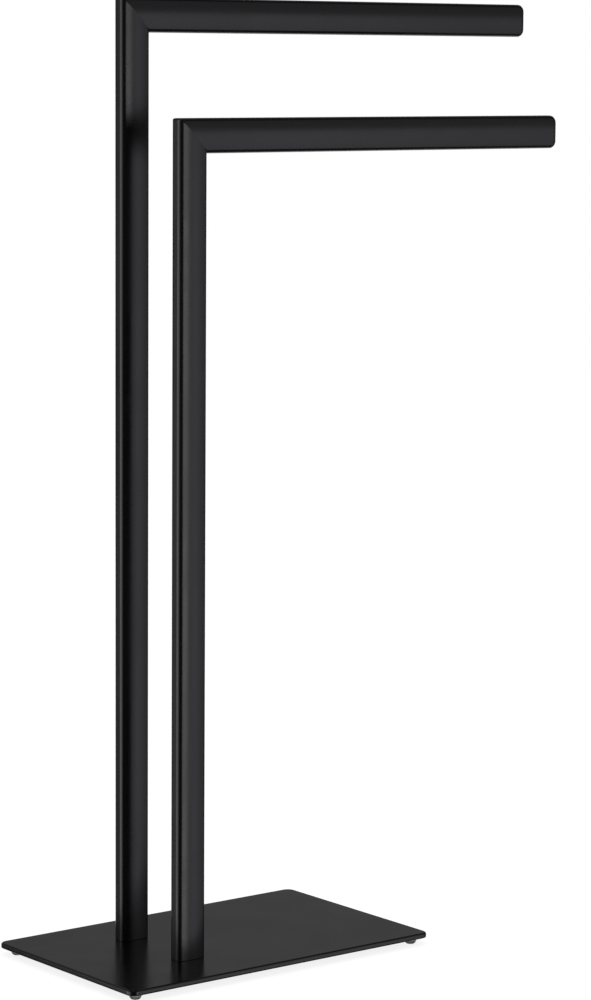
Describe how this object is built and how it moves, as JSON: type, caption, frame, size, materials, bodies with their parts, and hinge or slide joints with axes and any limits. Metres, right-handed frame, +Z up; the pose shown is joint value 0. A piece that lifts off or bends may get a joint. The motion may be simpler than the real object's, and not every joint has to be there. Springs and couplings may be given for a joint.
{
  "type": "freestanding towel stand",
  "caption": "Freestanding towel stand: L-shaped rails at staggered heights, mitred from oval tube, screwed to a flat steel base plate on dome feet.",
  "frame": {"origin": "on the floor, under the centre of the stand's bounding box", "axes": "+X along the rails towards their free ends, +Y to the rear where the taller rail stands, +Z up"},
  "size_m": [0.552, 0.205, 0.843],
  "materials": {
    "plate_coat": "satin black powder coat, fine grain",
    "tube_coat": "semi-gloss black powder coat",
    "cap_plastic": "black moulded plastic, fine spark texture",
    "clear_foot": "translucent grey polyurethane, smooth",
    "foot_adhesive": "clear acrylic adhesive film",
    "block_steel": "sawn and tapped mild steel",
    "screw_steel": "zinc-plated steel"
  },
  "bodies": {
    "root": {"base_plate": "plate_coat", "foot_front_left": "clear_foot", "foot_adhesive_front_left": "foot_adhesive", "foot_front_right": "clear_foot", "foot_adhesive_front_right": "foot_adhesive", "foot_rear_left": "clear_foot", "foot_adhesive_rear_left": "foot_adhesive", "foot_rear_right": "clear_foot", "foot_adhesive_rear_right": "foot_adhesive", "tall_post": "tube_coat", "tall_arm": "tube_coat", "tall_mitre_weld": "tube_coat", "tall_end_cap": "cap_plastic", "tall_post_block": "block_steel", "tall_post_screws": "screw_steel", "short_post": "tube_coat", "short_arm": "tube_coat", "short_mitre_weld": "tube_coat", "short_end_cap": "cap_plastic", "short_post_block": "block_steel", "short_post_screws": "screw_steel"}
  },
  "joints": []
}
